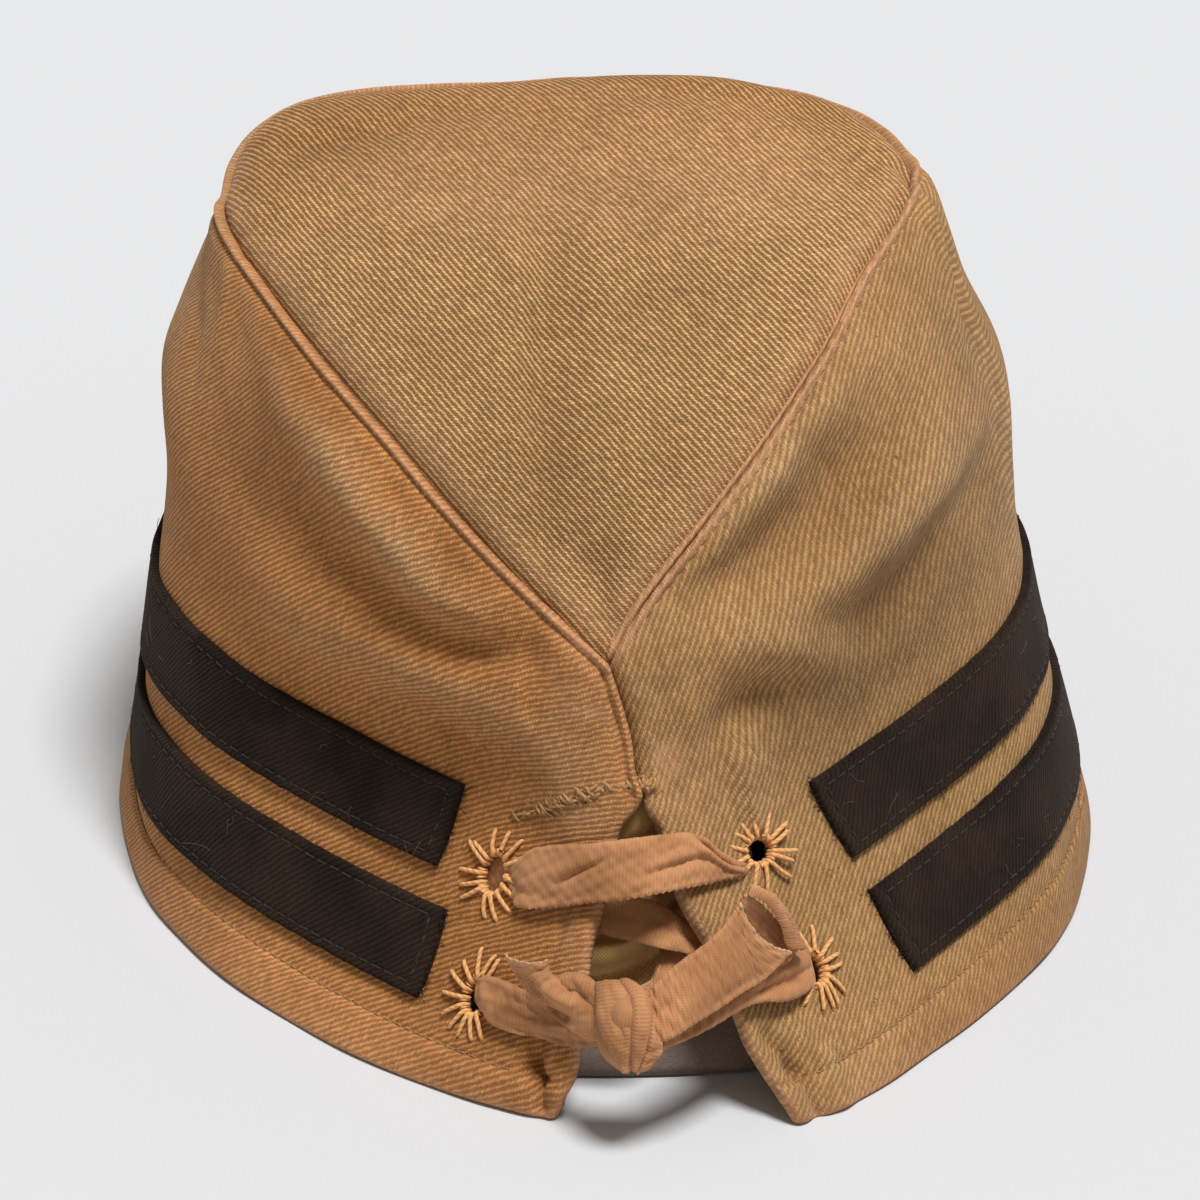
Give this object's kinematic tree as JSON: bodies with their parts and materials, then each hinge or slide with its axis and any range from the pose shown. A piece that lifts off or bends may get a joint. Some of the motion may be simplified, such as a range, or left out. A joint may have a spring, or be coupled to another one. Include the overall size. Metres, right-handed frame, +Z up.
{
  "type": "field cap",
  "caption": "Soft cotton field cap with a short peak, two dark stripes round the sides and a slit at the back closed by a tied tape.",
  "frame": {"origin": "centre of the cap's outline on the surface that it rests on", "axes": "+Z up, +Y towards the peak, +X to the wearer's right"},
  "size_m": [0.1621, 0.2495, 0.1133],
  "materials": {
    "khaki_twill": "matte cotton twill",
    "dark_wool": "matte wool twill",
    "band_leather": "worn matte",
    "lining_cotton": "matte plain weave",
    "lace_tape": "matte woven tape"
  },
  "bodies": {
    "root": {"crown_side_left": "khaki_twill", "crown_side_right": "khaki_twill", "crown_top_panel": "khaki_twill", "stripe_upper": "dark_wool", "stripe_lower": "dark_wool", "peak": "khaki_twill", "sweatband": "band_leather", "slit_lining": "lining_cotton", "lace": "lace_tape"}
  },
  "joints": []
}
